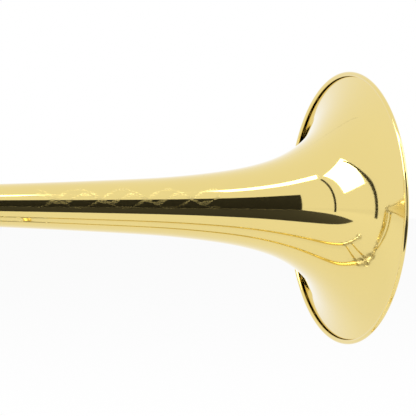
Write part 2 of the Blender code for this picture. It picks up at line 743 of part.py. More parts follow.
def outer_slide(lower, upper, brass, nickel):
    """The two outer tubes, the collars that carry their stay, and the ferrules at the bow."""
    front = BOW_X - 8 * MM - FIT
    for side, axis in (("lower", lower), ("upper", upper)):
        wall = OUTER_RADIUS - OUTER_BORE_RADIUS
        turned(f"{side}_outer_tube", pipe(OUTER_REAR_X, front, OUTER_RADIUS, OUTER_RADIUS, wall), axis, brass)
        bore = OUTER_RADIUS + FIT
        sleeve = beaded_sleeve(COLLAR_REAR_X, COLLAR_FRONT_X, bore, COLLAR_RADIUS, COLLAR_RADIUS + 0.6 * MM, 2 * MM)
        collar = turned(f"{side}_outer_collar", sleeve, axis, nickel)
        if side == "lower":
            post = [(COLLAR_RADIUS - 0.5 * MM, 0), (COLLAR_RADIUS - 0.5 * MM, 1.2 * MM)]
            post += [(11 * MM, 1.2 * MM), (11.2 * MM, 0.9 * MM), (11.2 * MM, 0)]
            tilt = (0, LOCK_PIN_ANGLE - pi / 2, pi / 2)
            pin = turned("lock_pin", post, axis, None, (COLLAR_REAR_X + 3.6 * MM, 0, 0), tilt, sides=12)
            combine(collar, pin, "UNION")
        ferrule = beaded_sleeve(
            BOW_X - 26 * MM, BOW_FERRULE_FRONT_X, bore, BOW_FERRULE_RADIUS - 0.4 * MM, BOW_FERRULE_RADIUS, 2 * MM
        )
        turned(f"{side}_bow_ferrule", ferrule, axis, nickel)


def bow_centre(turn):
    """Middle of the bow's tube at an angle round its bend from the lower tube, and the way out from the bend."""
    bend = SLIDE_SPACING / 2
    out = Vector((sin(turn), 0, cos(turn)))
    return Vector((BOW_X, 0, -bend)) + bend * out, out


def bow_ring(turn, radius, back=0.0):
    centre, out = bow_centre(turn)
    centre = centre - Vector((back, 0, 0))
    spokes = [2 * pi * i / SIDES for i in range(SIDES)]
    return [tuple(centre + radius * (cos(a) * out + sin(a) * Vector((0, 1, 0)))) for a in spokes]


def bow_rings(radius, stub=8 * MM):
    turns = [pi * i / BOW_STEPS for i in range(BOW_STEPS + 1)]
    bend = [bow_ring(turn, radius) for turn in turns]
    return [bow_ring(0, radius, stub)] + bend + [bow_ring(pi, radius, stub)]


def slide_bow(lower, brass, nickel, rubber):
    """The bow, the guard round the front of its bend, and the bumper that the slide is rested on."""
    skinned("slide_bow", bow_rings(BOW_RADIUS) + bow_rings(BOW_RADIUS - TUBE_WALL)[::-1], lower, brass, hollow=True)
    low, high = BOW_RADIUS + FIT, BOW_RADIUS + FIT + GUARD_THICKNESS
    from_turn, to_turn, wrap, steps = radians(42), radians(138), radians(70), 10
    rings = []
    for i in range(steps + 1):
        turn = from_turn + (to_turn - from_turn) * i / steps
        centre, out = bow_centre(turn)
        section = arc((0, 0), high, -wrap, wrap, 8) + arc((0, 0), low, wrap, -wrap, 8)
        rings.append([tuple(centre + u * out + v * Vector((0, 1, 0))) for u, v in section])
    skinned("bow_guard", rings, lower, nickel)

    tip = Vector((BUMPER_TIP_X, 0, -SLIDE_SPACING / 2))
    face = BOW_X + SLIDE_SPACING / 2 + high - BUMPER_TIP_X
    cup_rim = -9 * MM
    base = [
        (face - 4 * MM, 0),
        (face - 4 * MM, 7 * MM),
        (face + 1.2 * MM, 7 * MM),
        (face + 2 * MM, 5.4 * MM),
        (face + 4 * MM, 5.2 * MM),
        (cup_rim - 2 * MM, 7.4 * MM),
        (cup_rim, 7.4 * MM),
        (cup_rim, 0),
    ]
    holder = turned("bumper_base", base, lower, nickel, tip)
    combine(holder, skinned("bow_cutter", bow_rings(high + 3 * FIT), lower, None), "DIFFERENCE")
    knob = [(cup_rim + FIT, 0), (cup_rim + FIT, 6.6 * MM), (-2 * MM, 6.6 * MM), (-0.6 * MM, 6 * MM)]
    turned("rubber_bumper", knob + [(0, 5 * MM), (0, 0)], lower, rubber, tip)


def water_key(lower, brass, nickel, cork, steel):
    """The valve that lets water out of the bow: a nipple, and a sprung lever that holds a cork on it."""
    nipple = [
        (5 * MM, 3.9 * MM),
        (8.6 * MM, 3.9 * MM),
        (9 * MM, 3.2 * MM),
        (11 * MM, 3 * MM),
        (11 * MM, 1.8 * MM),
        (5 * MM, 1.8 * MM),
    ]
    spout = turned("water_key_nipple", nipple, lower, nickel, (KEY_NIPPLE_X, 0, -1 * MM), ALONG_Z, sides=16)
    combine(spout, skinned("nipple_cutter", bow_rings(BOW_RADIUS + FIT), lower, None), "DIFFERENCE")

    post_gap, post_width, height = 4.9 * MM, 1.4 * MM, KEY_PIVOT_HEIGHT
    rise = height + 2.2 * MM
    outline = [(-4 * MM, 4 * MM), (4 * MM, 4 * MM), (4 * MM, 10 * MM)]
    outline += [(2.2 * MM, rise - 1 * MM), (1.2 * MM, rise), (-1.2 * MM, rise), (-2.2 * MM, rise - 1 * MM)]
    outline += [(-4 * MM, 10 * MM)]
    across = 2 * (post_gap + post_width)
    saddle = extruded("water_key_saddle", outline, across, lower, nickel, (KEY_PIVOT_X, 0, 0))
    slot = [(-6 * MM, 10 * MM), (6 * MM, 10 * MM), (6 * MM, 20 * MM), (-6 * MM, 20 * MM)]
    combine(saddle, extruded("saddle_slot", slot, 2 * post_gap, lower, None, (KEY_PIVOT_X, 0, 0)), "DIFFERENCE")
    ends = (KEY_PIVOT_X - 8 * MM, KEY_PIVOT_X + 8 * MM)
    combine(saddle, tube_cutter("saddle_cutter", lower, *ends, lambda _: BOW_FERRULE_RADIUS - 0.4 * MM), "DIFFERENCE")

    turn = pivot("water_key_pivot", lower, (KEY_PIVOT_X, 0, height))
    hole = KEY_PIN_RADIUS + FIT
    bore = [(-9 * MM, 0), (-9 * MM, hole), (9 * MM, hole), (9 * MM, 0)]
    combine(saddle, turned("saddle_bore", bore, turn, None, rotation=ALONG_Y, sides=16), "DIFFERENCE")
    half = post_gap + post_width
    pin = [
        (-half - 0.6 * MM, 0),
        (-half - 0.6 * MM, KEY_PIN_RADIUS),
        (half + 0.3 * MM, KEY_PIN_RADIUS),
        (half + 0.3 * MM, 1.9 * MM),
        (half + 1.3 * MM, 1.9 * MM),
        (half + 1.6 * MM, 1.5 * MM),
        (half + 1.6 * MM, 0),
    ]
    turned("water_key_pin", pin, turn, steel, rotation=AGAINST_Y, sides=12)
    key_lever(turn, brass, cork)
    key_spring(turn, steel)


def key_lever(turn, brass, cork):
    """The lever: a bar from the thumb plate, over the pivot, to the cup that holds the cork."""
    reach = KEY_NIPPLE_X - KEY_PIVOT_X
    hub = arc((0, 0), 2.4 * MM, radians(150), radians(390), 10)
    bar = (
        hub
        + [(reach, 2.4 * MM), (reach + 4 * MM, 2.4 * MM), (reach + 4 * MM, 3.2 * MM), (4 * MM, 3.6 * MM)]
        + [(-6 * MM, 3.8 * MM), (-16 * MM, 6.6 * MM), (-17 * MM, 5.1 * MM), (-7 * MM, 2.2 * MM)]
    )
    lever = extruded("water_key_lever", bar, 3.8 * MM, turn, brass, (0, -2.3 * MM, 0))
    recess = [(2 * MM, 0), (2 * MM, 4.4 * MM), (0.4 * MM, 4.4 * MM)]
    cup = recess + [(0.4 * MM, 5.2 * MM), (2.6 * MM, 5.2 * MM), (3.4 * MM, 4.2 * MM), (3.4 * MM, 0)]
    dish = turned("lever_cup", cup, turn, None, (reach, 0, 0), ALONG_Z)
    combine(lever, dish, "UNION")
    oval = arc((0, 0), 1, 0, 2 * pi, 12)[:-1]
    half_length, half_width, slant = 7.5 * MM, 4.6 * MM, -2.1 * MM
    rings = []
    for z in (6.2 * MM, 7.6 * MM):
        rings.append([(-20 * MM + half_length * u, half_width * v, z + slant * u) for u, v in oval])
    combine(lever, skinned("lever_plate", rings, turn, None), "UNION")
    bore = [(-9 * MM, 0), (-9 * MM, KEY_PIN_RADIUS + FIT), (9 * MM, KEY_PIN_RADIUS + FIT), (9 * MM, 0)]
    combine(lever, turned("lever_bore", bore, turn, None, rotation=ALONG_Y, sides=16), "DIFFERENCE")
    pad = [(-2.6 * MM, 0), (-2.6 * MM, 4.1 * MM), (1.7 * MM, 4.1 * MM), (1.7 * MM, 0)]
    turned("water_key_cork", pad, turn, cork, (reach, 0, 0), ALONG_Z)


def key_spring(turn, steel):
    """A coil round the pin, with one leg under the lever and one on the ferrule."""
    steps_per_turn = 10
    count = KEY_SPRING_TURNS * steps_per_turn
    first_y = 0.75 * MM
    coil = []
    for i in range(count + 1):
        a = radians(-60) + 2 * pi * i / steps_per_turn
        y = first_y + KEY_SPRING_PITCH * i / steps_per_turn
        coil.append(Vector((KEY_SPRING_RADIUS * cos(a), y, KEY_SPRING_RADIUS * sin(a))))
    gap = min((a - b).length for i, a in enumerate(coil) for b in coil[i + steps_per_turn - 1 :]) - 2 * KEY_SPRING_WIRE
    print(f"water key spring: least gap to itself {gap / MM:.2f} mm")
    curve = bpy.data.curves.new("water_key_spring", "CURVE")
    curve.dimensions = "3D"
    curve.bevel_depth = KEY_SPRING_WIRE
    curve.bevel_resolution = 1
    curve.use_fill_caps = True
    spline = curve.splines.new("POLY")
    spline.points.add(len(coil) - 1)
    for point, place_at in zip(spline.points, coil):
        point.co = (*place_at, 1)
    place("water_key_spring", curve, turn, steel)


def mouthpiece(axis, silver):
    """Rim, cup, throat and tapered shank."""
    shank_in = RECEIVER_MOUTH_X - MOUTHPIECE_RIM_X
    outline = [
        (0, 15.6 * MM),
        (0.5 * MM, 17.4 * MM),
        (1.6 * MM, 18.8 * MM),
        (MOUTHPIECE_WIDEST, MOUTHPIECE_RADIUS),
        (4.8 * MM, 18.9 * MM),
        (6.2 * MM, 17.6 * MM),
        (10 * MM, 16.6 * MM),
        (17 * MM, 14 * MM),
        (24 * MM, 10.6 * MM),
        (29 * MM, 8.2 * MM),
        (33 * MM, 7.1 * MM),
        (37 * MM, 6.9 * MM),
        (shank_in, 6.4 * MM),
        (MOUTHPIECE_LENGTH, 5.72 * MM),
        (MOUTHPIECE_LENGTH, 5 * MM),
        (40 * MM, 3.6 * MM),
        (27 * MM, 3.2 * MM),
        (23.5 * MM, 4.2 * MM),
        (20 * MM, 7 * MM),
        (15 * MM, 10 * MM),
        (9 * MM, 12 * MM),
        (3 * MM, 12.7 * MM),
        (0.7 * MM, 13.2 * MM),
        (0, 14.4 * MM),
    ]
    turned("mouthpiece", outline, axis, silver, (MOUTHPIECE_RIM_X, 0, 0), sides=32)


def resting_frame():
    """The empty that lays the instrument down, with the world's origin under the middle of its box.

    The pitch sets the lock nut and the bow's ferrule on the table, and the roll sets the mouthpiece's rim there.
    """
    mouthpiece_x = MOUTHPIECE_RIM_X + MOUTHPIECE_WIDEST
    pitch = atan((NUT_RADIUS - BOW_FERRULE_RADIUS) / (BOW_FERRULE_FRONT_X - NUT_FRONT_X))
    rise = MOUTHPIECE_RADIUS - NUT_RADIUS - (NUT_FRONT_X - mouthpiece_x) * tan(pitch)
    roll = -asin(rise / SLIDE_SPACING)
    neck_drop = BELL_TO_NECK * cos(roll)
    table = -NUT_FRONT_X * sin(pitch) - (neck_drop + NUT_RADIUS) * cos(pitch)
    crook_end = CROOK_X - BELL_TO_NECK / 2 - crook_radius(pi / 2)
    rear = crook_end * cos(pitch) - neck_drop / 2 * sin(pitch)
    slide_drop = neck_drop + SLIDE_SPACING / 2 * sin(roll)
    front = BUMPER_TIP_X * cos(pitch) - slide_drop * sin(pitch)
    near = BELL_TO_NECK * sin(roll) - SLIDE_SPACING * cos(roll) - MOUTHPIECE_RADIUS
    place_at = (-(rear + front) / 2, -(near + RIM_RADIUS) / 2, -table)
    return pivot("trombone", None, place_at, (roll - pi / 2, pitch, 0))


def main():
    for old in list(bpy.data.objects):
        bpy.data.objects.remove(old)
    brass = finish("lacquered_brass", (0.83, 0.62, 0.25), 0.12, 1)
    nickel = finish("nickel_silver", (0.72, 0.70, 0.64), 0.18, 1)
    chrome = finish("chromed_tube", (0.78, 0.79, 0.81), 0.08, 1)
    silver = finish("silver_plate", (0.86, 0.85, 0.82), 0.10, 1)
    steel = finish("steel", (0.50, 0.50, 0.50), 0.30, 1)
    cork = finish("cork", (0.55, 0.36, 0.19), 0.90, 0)
    rubber = finish("black_rubber", (0.03, 0.03, 0.03), 0.70, 0)

    frame = resting_frame()
    bell_axis = pivot("bell_axis", frame)
    lower = pivot("lower_slide_axis", frame, (0, BELL_TO_NECK, 0))
    upper = pivot("upper_slide_axis", frame, (0, BELL_TO_NECK, -SLIDE_SPACING))

    bell(bell_axis, brass, steel)
    tuning_sleeves(bell_axis, lower, nickel)
    neckpipe(lower, brass)
    bell_receiver(lower, nickel)
    bell_braces(bell_axis, lower, brass, nickel)
    bell_lock_nut(lower, nickel)
    tuning_slide(frame, bell_axis, lower, brass, nickel)
    counterweight(frame, brass, nickel, steel)
    slide_tenon(lower, nickel)
    inner_slide(lower, upper, chrome, nickel, cork)
    mouthpiece_receiver(upper, nickel)
    leadpipe(upper, brass)
    slide_lock_ring(lower, nickel)
    hand_slide_braces(lower, upper, brass, nickel)
    outer_slide(lower, upper, brass, nickel)
    slide_bow(lower, brass, nickel, rubber)
    water_key(lower, brass, nickel, cork, steel)
    mouthpiece(upper, silver)


main()
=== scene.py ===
"""The looks of a tenor trombone: smooth brass tubes, finishes for every piece, and a plain pale studio."""

import json
from math import cos, exp, hypot, log, pi, radians, sin
from typing import NamedTuple

import bmesh
import bpy
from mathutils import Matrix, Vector


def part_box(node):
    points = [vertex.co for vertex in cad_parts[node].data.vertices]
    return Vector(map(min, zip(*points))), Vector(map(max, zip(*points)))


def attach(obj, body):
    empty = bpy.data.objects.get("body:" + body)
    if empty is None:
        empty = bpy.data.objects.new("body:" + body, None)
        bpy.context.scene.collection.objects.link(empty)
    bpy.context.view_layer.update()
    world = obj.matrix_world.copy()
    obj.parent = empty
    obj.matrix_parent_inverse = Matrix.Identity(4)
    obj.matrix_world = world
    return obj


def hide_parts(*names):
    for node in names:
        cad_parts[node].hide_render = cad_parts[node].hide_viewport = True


bl_info = {
    "name": "Tenor trombone looks",
    "version": (1, 0, 0),
    "blender": (4, 5, 0),
    "location": "View3D > Sidebar > Trombone",
    "description": "Dresses a tenor trombone and lights it",
    "category": "Object",
}

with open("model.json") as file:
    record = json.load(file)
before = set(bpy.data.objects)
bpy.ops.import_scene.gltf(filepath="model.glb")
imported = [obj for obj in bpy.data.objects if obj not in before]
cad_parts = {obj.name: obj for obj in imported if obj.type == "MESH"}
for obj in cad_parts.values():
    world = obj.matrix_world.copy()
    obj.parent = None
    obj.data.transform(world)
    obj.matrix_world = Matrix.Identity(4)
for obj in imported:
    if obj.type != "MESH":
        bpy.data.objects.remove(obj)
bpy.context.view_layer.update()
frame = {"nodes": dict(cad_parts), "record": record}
MM = 0.001

# Bell: its box, and then its sheet in millimetres
BELL_LOW, BELL_HIGH = (Vector(corner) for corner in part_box("bell"))
RIM_RADIUS = 101.6
BELL_WALL = 0.56
# Distance back from the rim's plane, and radius of the sheet's middle there
BELL_STATIONS = [
    (0.4, 99.4), (3, 91.8), (8, 80.8), (15, 69.2), (25, 56.6), (40, 45.0), (60, 35.4),
    (85, 28.7), (115, 24.1), (150, 20.7), (200, 17.9), (260, 15.2), (330, 12.7), (423, 10.2),
]
STATION_SHIFT = 22  # makes the stations nearly a straight line when both are taken as logarithms
BEAD_RADIUS = 1.7  # outside of the rim's roll
BEAD_START = radians(-19)
BEAD_WRAP = radians(280)
FLARE_RINGS = 60
BEAD_RINGS = 14

# Scroll engraved on the stem: lengths along the stem in metres, heights as shares of STEM_RADIUS
STEM_RADIUS = 19 * MM
SCROLL_FROM = 112 * MM  # back from the rim's plane
SCROLL_TO = 245 * MM
SCROLL_MIDDLE = 0.35  # above the bell's axis
SCROLL_WAVE = 95.0  # radians for each metre
# Phase, rise, thickness and pace of each vine
VINES = ((0.0, 0.34, 0.022, 1.0), (pi, 0.34, 0.016, 1.0), (1.2, 0.16, 0.03, 1.9))
LEAF_PACE = 3
STALK = 0.014  # half the width of a vine where it has no leaf
VEINS_ACROSS = 14.0  # in each STEM_RADIUS
VEINS_ALONG = 420.0  # in each metre
VEIN_SHARE = 0.45  # of the leaf that stays uncut
ENGRAVED_ROUGHNESS = 0.22  # added to the brass's own
ENGRAVED_BUMP = 0.2

# Surfaces
PATCH_SCALE = 14.0
WIPE_SCALE = (6.0, 900.0, 900.0)  # wipe marks run along the tubes
ROUGHNESS_SWING = 0.05
BUMP_DEPTH = 0.3 * MM
COAT_ROUGHNESS = 0.03
MIX_RESULT, MIX_A, MIX_B = 2, 6, 7  # a Mix node's sockets for colours

# Nodes that aren't rounded, by the ends of their names: the bell has a piece of its own
PLAIN_ENDINGS = (
    "foot", "saddle", "lever", "nipple", "counterweight", "bumper_base", "lock_ring", "lower_outer_collar",
    "water_key_spring", "bell", "rim_wire", "bow_guard", "water_key_pin", "bell_lock_nut", "slide_tenon",
)

# Rounding of the frame's tubes, rings and rods
WELD_DISTANCE = 0.002 * MM
FLAT_ANGLE = radians(1)
SHARP_ANGLE = radians(38)
CREASE = 0.85
ROUNDING_LEVELS = 2

# Camera: lens and sensor in millimetres
RIM_OFF_AXIS = radians(3.97)  # the bell's rim stands right of the picture's middle
SENSOR_WIDTH = 36
LENS = 173.5

# Studio, in metres
FLOOR_SIZE = 60
PAPER_GLOW = 0.88  # share of plain white in the floor where it is seen
ROOM_LIGHT = 0.7  # strength of the world's light on the object
# The black cards below are seen only in reflections: they paint dark reflections into the brass and cast
# no shadow
BLACK = (0.01, 0.01, 0.01)
CARD_ROUGHNESS = 0.9
CARDS_FORWARD = 0.14  # middle of the black cards, in front of the rim's plane
GAP_SIZE = (2.0, 1.25)
GAP_DISTANCE = 2.0  # from the bell's axis, towards -Y
GAP_HEIGHT = 0.63  # of its middle
BOARD_SIZE = (2.0, 1.68)
BOARD_DISTANCE = 1.16  # of its middle from the bell's axis, towards -Y
BOARD_HEIGHT = 1 * MM  # above the floor
STRIP_SIZE = (4.0, 0.16)
STRIP_OFFSET = 1.9  # behind the rim and above it
EDGE_SIZE = (0.07, 2.2)
EDGE_DISTANCE = 2.0
EDGE_HEIGHT = 1.1  # of its middle
EDGE_TURNS = (radians(-48), radians(-88))  # round the rim, from -Y
# Name, place, width and height, and power in watts
LAMPS = (
    ("key_box", (-2.2, -0.7, 1.75), (1.3, 1.7), 34),
    ("top_box", (-0.4, -1.3, 2.2), (1.6, 0.3), 8),
    ("fill_box", (1.8, -0.9, 1.2), (0.9, 1.2), 9),
)


class Finish(NamedTuple):
    """What sets one material apart from the others."""

    color: tuple
    metallic: float
    roughness: float
    grain: float  # scale of the finest noise
    coat: float = 0.0
    mottle: float = 0.06  # how far the colour darkens
    bump: float = 0.012
    soft: bool = False  # cork and rubber are mottled by their grain and have no wipe marks


FINISHES = {
    "lacquered_brass": Finish((0.84, 0.67, 0.23), 1.0, 0.05, 90.0, coat=1.0),
    "nickel_silver": Finish((0.60, 0.57, 0.50), 1.0, 0.16, 220.0),
    "chromed_tube": Finish((0.66, 0.67, 0.69), 1.0, 0.06, 160.0),
    "silver_plate": Finish((0.72, 0.71, 0.68), 1.0, 0.09, 160.0),
    "steel": Finish((0.52, 0.52, 0.53), 1.0, 0.28, 400.0),
    "cork": Finish((0.55, 0.36, 0.19), 0.0, 0.85, 900.0, mottle=0.45, bump=0.5, soft=True),
    "black_rubber": Finish((0.03, 0.03, 0.03), 0.0, 0.60, 700.0, bump=0.5, soft=True),
}


class Wire:
    """A node's output, on which shader maths is written as plain expressions."""

    def __init__(self, tree, socket):
        self.tree = tree
        self.socket = socket

    def maths(self, operation, *others):
        """A Math node that has this wire as its first value."""
        return node(self.tree, "ShaderNodeMath", {"operation": operation}, self, *others)

    def __add__(self, other):
        return self.maths("ADD", other)

    def __sub__(self, other):
        return self.maths("SUBTRACT", other)

    def __rsub__(self, other):
        return node(self.tree, "ShaderNodeMath", {"operation": "SUBTRACT"}, other, self)

    def __mul__(self, other):
        return self.maths("MULTIPLY", other)

    __radd__ = __add__
    __rmul__ = __mul__


def node(tree, kind, settings, *values, output=0, **named):
    """Adds a node, sets it up, and feeds its inputs, in order or by name, with values or wires."""
    made = tree.nodes.new(kind)
    for key, value in settings.items():
        setattr(made, key, value)
    for key, value in list(enumerate(values)) + list(named.items()):
        socket = made.inputs[key.replace("_", " ") if isinstance(key, str) else key]
        if isinstance(value, Wire):
            tree.links.new(value.socket, socket)
        else:
            socket.default_value = value
    return Wire(tree, made.outputs[output])


def mixed_color(tree, share, low, high):
    """Mixes two colours by a wire that runs from 0 to 1."""
    mixed = node(tree, "ShaderNodeMix", {"data_type": "RGBA"}, share, output=MIX_RESULT)
    inputs = mixed.socket.node.inputs
    inputs[MIX_A].default_value = (*low, 1)
    inputs[MIX_B].default_value = (*high, 1)
    return mixed


def finish_material(name):
    """A metal, cork or rubber with mottled colour, a fine grain and, on metal, faint wipe marks."""
    finish = FINISHES[name]
    material = bpy.data.materials.new(name)
    material.use_nodes = True
    tree = material.node_tree
    shader = tree.nodes["Principled BSDF"]
    place = node(tree, "ShaderNodeTexCoord", {}, output="Object")
    patches = node(tree, "ShaderNodeTexNoise", {}, Vector=place, Scale=PATCH_SCALE, Detail=4.0)
    grain = node(tree, "ShaderNodeTexNoise", {}, Vector=place, Scale=finish.grain, Detail=6.0)
    dark = tuple(c * (1 - finish.mottle) for c in finish.color)
    color = mixed_color(tree, grain if finish.soft else patches, dark, finish.color)
    tree.links.new(color.socket, shader.inputs["Base Color"])
    rough = finish.roughness + ROUGHNESS_SWING * (patches - 0.5)
    if not finish.soft:
        stretched = node(tree, "ShaderNodeMapping", {}, Vector=place, Scale=WIPE_SCALE)
        wiped = node(tree, "ShaderNodeTexNoise", {}, Vector=stretched, Scale=1.0, Detail=2.0)
        rough = rough + ROUGHNESS_SWING * (wiped - 0.5)
    tree.links.new(rough.socket, shader.inputs["Roughness"])
    bump = node(tree, "ShaderNodeBump", {}, Height=grain, Strength=finish.bump, Distance=BUMP_DEPTH)
    tree.links.new(bump.socket, shader.inputs["Normal"])
    shader.inputs["Metallic"].default_value = finish.metallic
    shader.inputs["Coat Weight"].default_value = finish.coat
    shader.inputs["Coat Roughness"].default_value = COAT_ROUGHNESS
    return material


def engrave(material, rim):
    """Cuts a leafy scroll, shallow and matt, into the front (-Y) side of the bell's stem."""
    tree = material.node_tree
    shader = tree.nodes["Principled BSDF"]
    place = node(tree, "ShaderNodeTexCoord", {}, output="Object")
    x, y, z = (node(tree, "ShaderNodeSeparateXYZ", {}, place, output=k) for k in range(3))
    back = rim.x - x
    height = (z - rim.z) * (1 / STEM_RADIUS)
    area = back.maths("GREATER_THAN", SCROLL_FROM) * back.maths("LESS_THAN", SCROLL_TO)
    area = area * y.maths("LESS_THAN", rim.y)
    leaves = []
    for phase, rise, thick, pace in VINES:
        vine = (back * (SCROLL_WAVE * pace) + phase).maths("SINE") * rise
        leaf = (back * (SCROLL_WAVE * LEAF_PACE) + phase).maths("SINE")
        off = (height - SCROLL_MIDDLE - vine).maths("ABSOLUTE")
        inside = off.maths("LESS_THAN", leaf * leaf * (2 * thick) + STALK)
        veins = (off * VEINS_ACROSS + back * VEINS_ALONG).maths("FRACT").maths("GREATER_THAN", VEIN_SHARE)
        leaves.append(inside * veins)
    cut = leaves[0]
    for other in leaves[1:]:
        cut = cut.maths("MAXIMUM", other)
    cut = area * cut
    rough = Wire(tree, shader.inputs["Roughness"].links[0].from_socket) + cut * ENGRAVED_ROUGHNESS
    tree.links.new(rough.socket, shader.inputs["Roughness"])
    under = Wire(tree, shader.inputs["Normal"].links[0].from_socket)
    bump = node(
        tree, "ShaderNodeBump", {"invert": True},
        Height=cut, Strength=ENGRAVED_BUMP, Distance=BUMP_DEPTH, Normal=under,
    )
    tree.links.new(bump.socket, shader.inputs["Normal"])


def bell_radius(back):
    """Radius of the bell sheet's middle at a distance back from the rim, in millimetres."""
    places = [log(s + STATION_SHIFT) for s, _ in BELL_STATIONS]
    heights = [log(r) for _, r in BELL_STATIONS]
    last = len(places) - 1
    slopes = []
    for i in range(last + 1):
        low, high = max(i - 1, 0), min(i + 1, last)
        slopes.append((heights[high] - heights[low]) / (places[high] - places[low]))
    u = min(max(log(back + STATION_SHIFT), places[0]), places[-1])
    i = max(k for k in range(last) if places[k] <= u)
    width = places[i + 1] - places[i]
    t = (u - places[i]) / width
    rise = heights[i + 1] - heights[i]
    bend = (1 - t) * (slopes[i] * width - rise) + t * (rise - slopes[i + 1] * width)
    return exp(heights[i] + t * rise + t * (1 - t) * bend)


def bell_outline():
    """The sheet's closed outline, as distance along the axis from the rim's plane and radius."""
    far, near = BELL_STATIONS[-1][0], BELL_STATIONS[0][0]
    low, high = log(near + STATION_SHIFT), log(far + STATION_SHIFT)
    middle = []
    for i in range(FLARE_RINGS):
        back = exp(high + (low - high) * i / FLARE_RINGS) - STATION_SHIFT
        middle.append((-back, bell_radius(back)))
    roll = BEAD_RADIUS - BELL_WALL / 2
    for i in range(BEAD_RINGS + 1):
        turn = BEAD_START + BEAD_WRAP * i / BEAD_RINGS
        middle.append((-BEAD_RADIUS + roll * cos(turn), RIM_RADIUS - BEAD_RADIUS + roll * sin(turn)))
    outer, inner = [], []
    for i, (x, r) in enumerate(middle):
        before, after = middle[max(i - 1, 0)], middle[min(i + 1, len(middle) - 1)]
        length = hypot(after[0] - before[0], after[1] - before[1])
        across_x = -(after[1] - before[1]) / length * BELL_WALL / 2
        across_r = (after[0] - before[0]) / length * BELL_WALL / 2
        outer.append((x + across_x, r + across_r))
        inner.append((x - across_x, r - across_r))
    return outer + inner[::-1]


def turned_mesh(name, outline, sides, middle, axis):
    """Turns a closed outline in millimetres round an axis through a place."""
    up = Vector((0, 0, 1)) - axis * axis.z
    up.normalize()
    side = axis.cross(up)
    turns = [2 * pi * i / sides for i in range(sides)]
    mesh = bmesh.new()
    rings = []
    for x, r in outline:
        ring = [middle + axis * x * MM + r * MM * (cos(a) * up + sin(a) * side) for a in turns]
        rings.append([mesh.verts.new(point) for point in ring])
    for ring, after in zip(rings, rings[1:] + rings[:1]):
        for i in range(sides):
            j = (i + 1) % sides
            mesh.faces.new((ring[i], ring[j], after[j], after[i]))
    bmesh.ops.recalc_face_normals(mesh, faces=mesh.faces)
    data = bpy.data.meshes.new(name)
    mesh.to_mesh(data)
    mesh.free()
    data.shade_smooth()
    return data


def creased_mesh(name, source):
    """A copy of a faceted solid with its sharp edges creased, so that subdivision rounds the rest."""
    mesh = bmesh.new()
    mesh.from_mesh(source)
    bmesh.ops.remove_doubles(mesh, verts=mesh.verts, dist=WELD_DISTANCE)
    bmesh.ops.join_triangles(
        mesh, faces=mesh.faces, angle_face_threshold=FLAT_ANGLE, angle_shape_threshold=radians(180)
    )
    crease = mesh.edges.layers.float.new("crease_edge")
    for edge in mesh.edges:
        sharp = len(edge.link_faces) == 2 and edge.calc_face_angle() > SHARP_ANGLE
        edge[crease] = CREASE if sharp else 0.0
    data = bpy.data.meshes.new(name)
    mesh.to_mesh(data)
    mesh.free()
    data.shade_smooth()
    return data


def slide_axis():
    """The direction that the tubes run in, from the hand slide's joint."""
    joint = next(j for j in frame["record"]["behaviour"]["joints"] if j["name"] == "hand_slide")
    return Vector(joint["axis"]).normalized()


class TromboneSettings(bpy.types.PropertyGroup):
    bell_sides: bpy.props.IntProperty(
        name="Bell sides", description="Facets round the bell", default=160, min=24
    )
    distance: bpy.props.FloatProperty(
        name="Camera distance", description="From the bell's rim", default=1.5, unit="LENGTH"
    )
    azimuth: bpy.props.FloatProperty(
        name="Camera azimuth", description="Turn of the view", default=radians(-25.5), subtype="ANGLE"
    )
    paper: bpy.props.FloatVectorProperty(
        name="Paper", description="Colour of the floor", default=(0.93, 0.93, 0.93), subtype="COLOR"
    )


class TROMBONE_OT_finishes(bpy.types.Operator):
    """Gives every piece of the frame its finish"""

    bl_idname = "trombone.finishes"
    bl_label = "Finishes"

    def execute(self, context):
        made = {name: finish_material(name) for name in FINISHES}
        slots = {row["node"]: row["material_slot"] for row in frame["record"]["subparts"]}
        for name, piece in frame["nodes"].items():
            material = made[slots[name]]
            if not piece.material_slots:
                piece.data.materials.append(material)
            for slot in piece.material_slots:
                slot.material = material
        return {"FINISHED"}


class TROMBONE_OT_bell(bpy.types.Operator):
    """Turns the smooth bell, with its rim rolled over the wire"""

    bl_idname = "trombone.bell"
    bl_label = "Bell"

    def execute(self, context):
        middle = (BELL_LOW + BELL_HIGH) / 2
        radius = (BELL_HIGH.y - BELL_LOW.y) / 2  # of the rim, which is the widest part of the bell's box
        rim = Vector((BELL_HIGH.x, middle.y, BELL_HIGH.z - radius))
        sides = context.scene.trombone.bell_sides
        data = turned_mesh("smooth_bell", bell_outline(), sides, rim, slide_axis())
        brass = frame["nodes"]["bell"].material_slots[0].material.copy()
        engrave(brass, rim)
        data.materials.append(brass)
        piece = bpy.data.objects.new("smooth_bell", data)
        context.scene.collection.objects.link(piece)
        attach(piece, "bell_section")
        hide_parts("bell")
        return {"FINISHED"}


class TROMBONE_OT_round_pieces(bpy.types.Operator):
    """Makes the tubes, rings and rods of the frame smoothly round"""

    bl_idname = "trombone.round_pieces"
    bl_label = "Round pieces"

    def execute(self, context):
        bodies = frame["record"]["behaviour"]["bodies"]
        riders = {name: body for body, names in bodies.items() for name in names}
        for name, source in list(frame["nodes"].items()):
            if name.endswith(PLAIN_ENDINGS):
                continue
            data = creased_mesh(f"round_{name}", source.data)
            data.materials.append(source.material_slots[0].material)
            piece = bpy.data.objects.new(f"round_{name}", data)
            context.scene.collection.objects.link(piece)
            smooth = piece.modifiers.new("smooth", "SUBSURF")
            smooth.levels = ROUNDING_LEVELS
            smooth.render_levels = ROUNDING_LEVELS
            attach(piece, riders[name])
            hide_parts(name)
        return {"FINISHED"}


